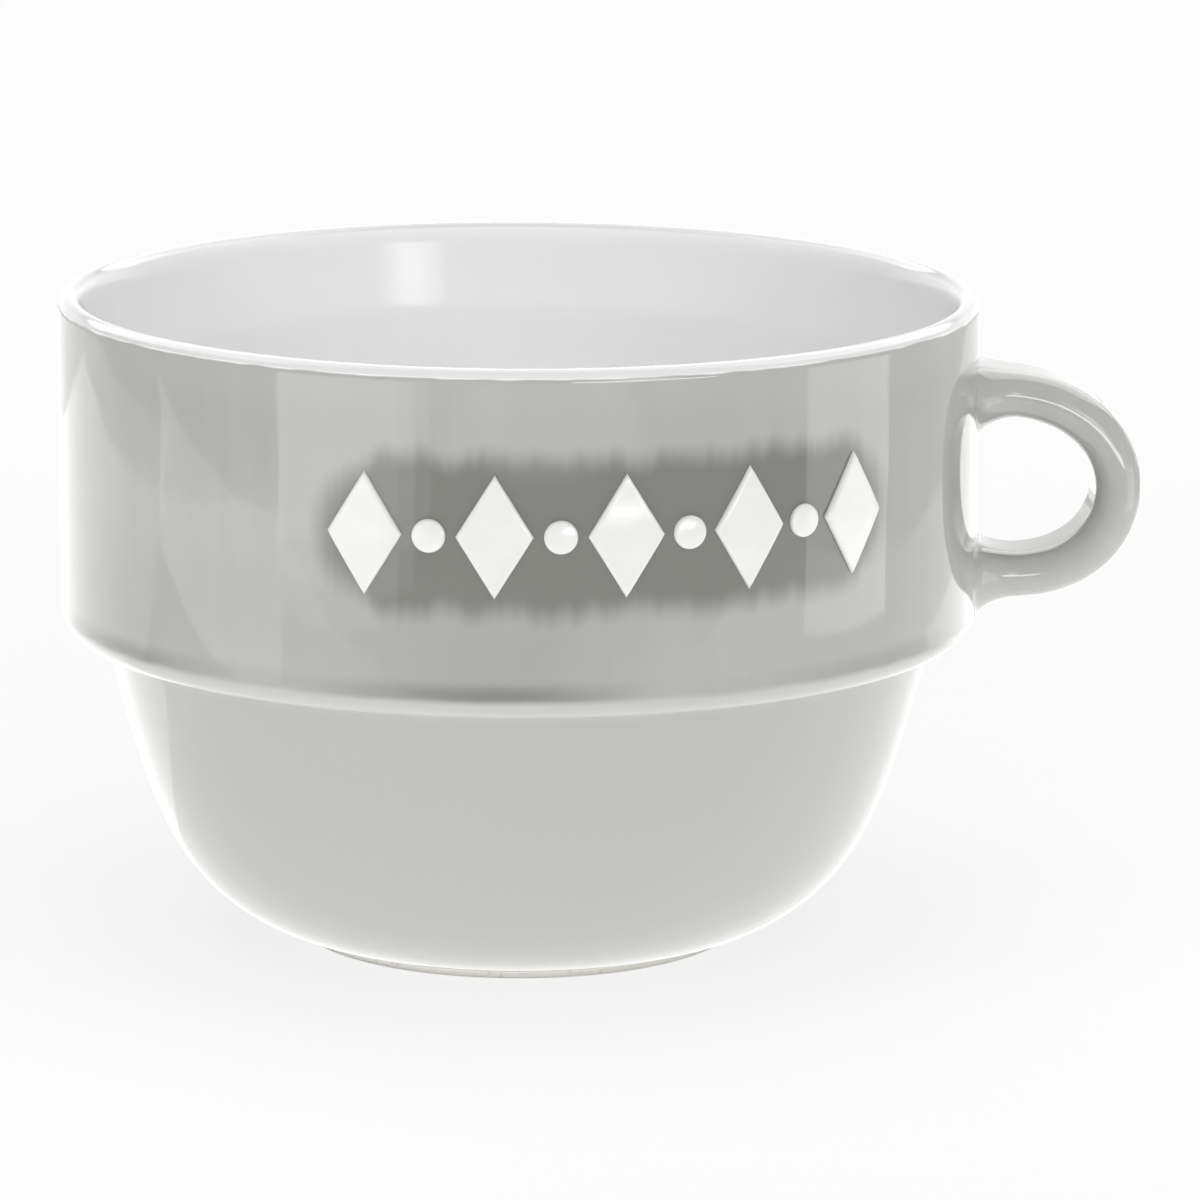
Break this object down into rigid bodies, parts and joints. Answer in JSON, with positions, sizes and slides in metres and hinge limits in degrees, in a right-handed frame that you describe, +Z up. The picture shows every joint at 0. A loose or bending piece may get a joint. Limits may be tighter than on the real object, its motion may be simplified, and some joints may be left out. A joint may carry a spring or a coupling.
{
  "type": "breakfast mug",
  "caption": "Wide stacking breakfast mug with a straight collar over a rounded bowl, a stacking ledge, a looped handle and a raised frieze, grey glazed outside and white inside.",
  "frame": {"origin": "on the table under the middle of the object's box, half way between the far side of the collar and the handle's outermost point", "axes": "+X towards the handle, +Z up, and the frieze faces -Y"},
  "size_m": [0.1414, 0.1208, 0.085],
  "materials": {
    "bare_clay": "bare fired stoneware, slightly gritty",
    "white_glaze": "glossy white glaze",
    "grey_glaze": "glossy light warm grey glaze",
    "white_relief": "glossy white raised enamel"
  },
  "bodies": {
    "root": {"clay_body": "bare_clay", "white_glaze_lining": "white_glaze", "grey_glaze_coat": "grey_glaze", "underside_glaze": "grey_glaze", "handle_loop": "bare_clay", "handle_glaze": "grey_glaze", "upper_handle_joint": "grey_glaze", "lower_handle_joint": "grey_glaze", "relief_lozenge_1": "white_relief", "relief_lozenge_2": "white_relief", "relief_lozenge_3": "white_relief", "relief_lozenge_4": "white_relief", "relief_lozenge_5": "white_relief", "relief_dot_1": "white_relief", "relief_dot_2": "white_relief", "relief_dot_3": "white_relief", "relief_dot_4": "white_relief"}
  },
  "joints": []
}
